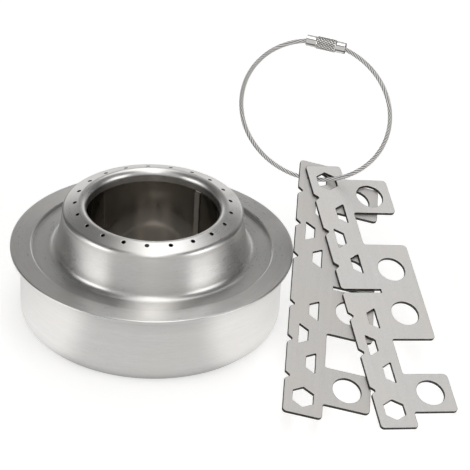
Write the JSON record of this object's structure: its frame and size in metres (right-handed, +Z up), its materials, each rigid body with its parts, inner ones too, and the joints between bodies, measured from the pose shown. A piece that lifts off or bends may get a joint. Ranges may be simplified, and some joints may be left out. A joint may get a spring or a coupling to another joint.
{
  "type": "alcohol spirit stove",
  "caption": "Pressed steel spirit burner with a ring of flame jets and a flange, with a flat two-plate cross pot stand on a wire rope keeper.",
  "frame": {"origin": "centre of the burner's base, on the surface it stands on", "axes": "+Z up along the burner's axis, +X towards the stand and keeper, +Y away from the viewer"},
  "size_m": [0.1501, 0.1141, 0.0899],
  "materials": {
    "pressed_steel": "satin, drawn and brushed",
    "bowl_steel": "satin, darkened inside",
    "plate_steel": "fine bead blasted, cut edges",
    "rope_steel": "twisted bright wire",
    "clasp_steel": "bright nickel plate, knurled grip"
  },
  "bodies": {
    "burner": {"base_cup": "pressed_steel", "top_shell": "pressed_steel", "inner_wall": "bowl_steel"},
    "lower_plate": {"stand_plate_lower": "plate_steel"},
    "upper_plate": {"stand_plate_upper": "plate_steel"},
    "keeper_loop": {"wire_rope": "rope_steel", "threaded_end": "clasp_steel", "swivel_end": "clasp_steel"},
    "clasp_sleeve": {"knurled_sleeve": "clasp_steel"}
  },
  "joints": [
    {"name": "stand_lift", "type": "slide", "parent": "burner", "child": "lower_plate", "axis": [0, 0, 1], "range_m": [0, 0.08]},
    {"name": "plate_fan", "type": "hinge", "parent": "lower_plate", "child": "upper_plate", "pos_m": [0.05819, 0.03084, 0.03702], "axis": [0.2337, -0.2835, 0.9301], "range_deg": [-16.2, 60]},
    {"name": "loop_swing", "type": "hinge", "parent": "lower_plate", "child": "keeper_loop", "pos_m": [0.05645, 0.03213, 0.03674], "axis": [0.9642, -0.2031, 0.1706], "range_deg": [-75, 60]},
    {"name": "sleeve_turn", "type": "hinge", "parent": "keeper_loop", "child": "clasp_sleeve", "pos_m": [0.05434, 0.03455, 0.08751], "axis": [0.974, -0.2147, -0.0727], "range_deg": [0, 1350]}
  ]
}
